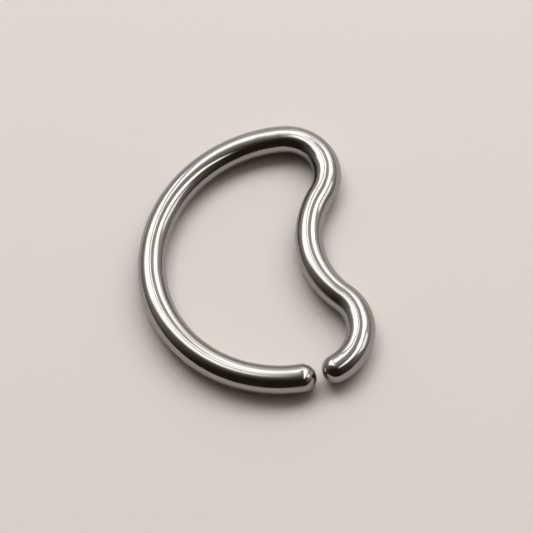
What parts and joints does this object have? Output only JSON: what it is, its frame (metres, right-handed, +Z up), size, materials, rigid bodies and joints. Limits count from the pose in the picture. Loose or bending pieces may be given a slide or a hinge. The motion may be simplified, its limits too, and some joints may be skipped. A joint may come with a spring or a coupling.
{
  "type": "seamless cartilage ring",
  "caption": "Kidney-shaped seamless piercing ring of round polished steel wire, with a dip between smooth shoulders and domed ends that all but meet.",
  "frame": {"origin": "under the middle of the ring's box, on the surface that it lies on", "axes": "+X along the loop's middle towards the dip, +Y across the loop, away from the gap between the wire's ends, +Z up, square to the plane that the wire is bent in"},
  "size_m": [0.0094, 0.0126, 0.0012],
  "materials": {
    "polished_steel": "mirror polished, with faint lines along the wire"
  },
  "bodies": {
    "root": {"ring_wire": "polished_steel"}
  },
  "joints": []
}
